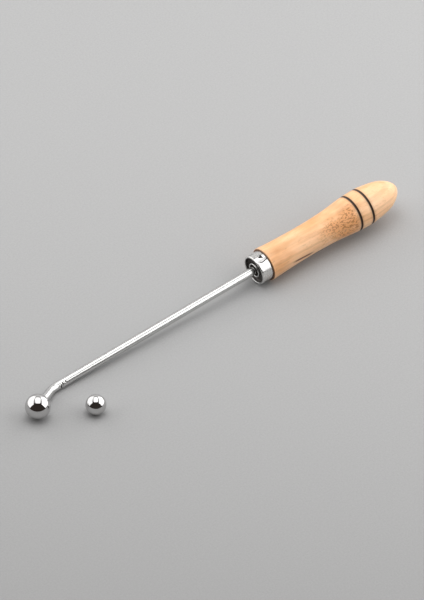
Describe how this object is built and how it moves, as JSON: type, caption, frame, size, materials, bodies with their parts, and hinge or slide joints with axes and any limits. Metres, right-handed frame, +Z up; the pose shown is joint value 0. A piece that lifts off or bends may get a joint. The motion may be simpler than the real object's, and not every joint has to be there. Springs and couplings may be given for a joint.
{
  "type": "ball-ended mandrel",
  "caption": "Hand tool with a turned wooden handle, a steel ferrule and a long bent steel rod with a screw-on polished steel ball, and a smaller spare ball beside it.",
  "frame": {"origin": "on the surface that the set lies on, under the middle of the whole set's box", "axes": "+X along the tool from its ball to the handle's butt, +Z up, and the rod bends towards -Y"},
  "size_m": [0.2998, 0.0494, 0.0277],
  "materials": {
    "handle_wood": "sanded and lightly oiled pale hardwood with burnt grooves",
    "ferrule_steel": "bright nickel-plated pressed steel",
    "rod_steel": "polished steel with fine drawing marks along the rod",
    "stud_steel": "machined steel",
    "ball_steel": "mirror-polished steel"
  },
  "bodies": {
    "tool": {"handle": "handle_wood", "ferrule": "ferrule_steel", "shank": "rod_steel"},
    "stud": {"tip_stud": "stud_steel"},
    "mounted_ball": {"tip_ball": "ball_steel"},
    "loose_ball": {"spare_ball": "ball_steel"}
  },
  "joints": [
    {"name": "ball_turn", "type": "hinge", "parent": "tool", "child": "stud", "pos_m": [-0.13554, 0.00453, 0.00625], "axis": [-0.8403, -0.4893, 0.2335], "range_deg": [0, 3961]},
    {"name": "ball_advance", "type": "slide", "parent": "stud", "child": "mounted_ball", "axis": [-0.8403, -0.4893, 0.2335], "range_m": [0, 0.0077]},
    {"name": "spare_ball_lift", "type": "slide", "parent": "tool", "child": "loose_ball", "axis": [0, 0, 1], "range_m": [0, 0.06]}
  ],
  "couplings": [
    {"joint": "ball_turn", "follows": "ball_advance", "rad_per_m": 8976}
  ]
}
